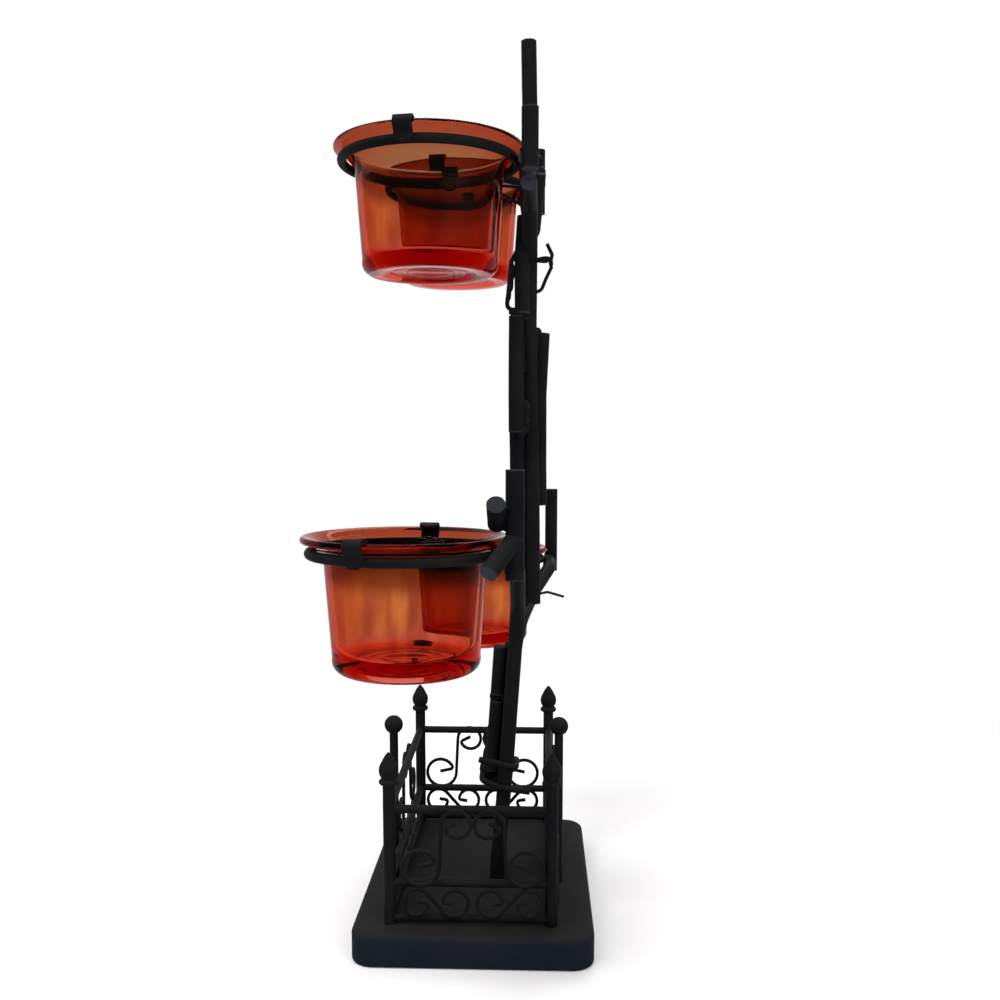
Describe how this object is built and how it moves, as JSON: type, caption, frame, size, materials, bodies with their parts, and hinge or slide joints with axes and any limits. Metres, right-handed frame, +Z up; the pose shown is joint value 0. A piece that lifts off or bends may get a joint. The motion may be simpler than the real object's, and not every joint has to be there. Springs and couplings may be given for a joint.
{
  "type": "tree candle holder",
  "caption": "Black iron candle tree of blunt rods on a block base inside a small scrolled fence, with flared amber glass cups clipped in wire rings.",
  "frame": {"origin": "middle of the base block's flat underside, where the holder rests on a table", "axes": "+Z up; +X along the tree's spread, towards its lower right cup; -Y towards the side where the cups hang"},
  "size_m": [0.2178, 0.0987, 0.3423],
  "materials": {
    "black_iron": "satin",
    "black_base": "matt paint",
    "amber_glass": "clear, tinted",
    "screw_steel": "plated"
  },
  "bodies": {
    "stand": {"back_ball": "black_iron", "back_bottom_rail": "black_iron", "back_left_finial": "black_iron", "back_left_post": "black_iron", "back_middle_post": "black_iron", "back_middle_rail": "black_iron", "back_right_finial": "black_iron", "back_right_post": "black_iron", "back_scrolls": "black_iron", "back_stay": "black_iron", "back_top_rail": "black_iron", "base_block": "black_base", "crown_brace": "black_iron", "crown_stub": "black_iron", "front_ball": "black_iron", "front_bottom_rail": "black_iron", "front_braces": "black_iron", "front_left_finial": "black_iron", "front_left_post": "black_iron", "front_middle_post": "black_iron", "front_middle_rail": "black_iron", "front_right_finial": "black_iron", "front_right_post": "black_iron", "front_scrolls": "black_iron", "front_stay": "black_iron", "front_top_rail": "black_iron", "left_bottom_rail": "black_iron", "left_middle_rail": "black_iron", "left_scrolls": "black_iron", "left_top_rail": "black_iron", "lower_left_bough": "black_iron", "lower_left_clips": "black_iron", "lower_left_ring": "black_iron", "lower_left_twig": "black_iron", "lower_right_bough": "black_iron", "lower_right_clips": "black_iron", "lower_right_ring": "black_iron", "lower_right_spurs": "black_iron", "lower_right_twig": "black_iron", "right_bottom_rail": "black_iron", "right_middle_rail": "black_iron", "right_scrolls": "black_iron", "right_top_rail": "black_iron", "trunk_core": "black_iron", "trunk_leader": "black_iron", "trunk_screws": "screw_steel", "upper_left_bough": "black_iron", "upper_left_clips": "black_iron", "upper_left_ring": "black_iron", "upper_left_twig": "black_iron", "upper_right_bough": "black_iron", "upper_right_clips": "black_iron", "upper_right_ring": "black_iron", "upper_right_twig": "black_iron", "upper_stay": "black_iron", "wire_ties": "black_iron"},
    "lower_left_cup": {"lower_left_cup": "amber_glass"},
    "lower_right_cup": {"lower_right_cup": "amber_glass"},
    "upper_left_cup": {"upper_left_cup": "amber_glass"},
    "upper_right_cup": {"upper_right_cup": "amber_glass"}
  },
  "joints": [
    {"name": "lower_right_cup_turn", "type": "hinge", "parent": "stand", "child": "lower_right_cup", "pos_m": [0.0806, -0.0197, 0.13835], "axis": [0, 0, 1], "continuous": true},
    {"name": "lower_left_cup_turn", "type": "hinge", "parent": "stand", "child": "lower_left_cup", "pos_m": [-0.06724, -0.0056, 0.11937], "axis": [0, 0, 1], "continuous": true},
    {"name": "upper_right_cup_turn", "type": "hinge", "parent": "stand", "child": "upper_right_cup", "pos_m": [0.03356, -0.01574, 0.27266], "axis": [0, 0, 1], "continuous": true},
    {"name": "upper_left_cup_turn", "type": "hinge", "parent": "stand", "child": "upper_left_cup", "pos_m": [-0.05128, -0.0125, 0.28276], "axis": [0, 0, 1], "continuous": true}
  ]
}
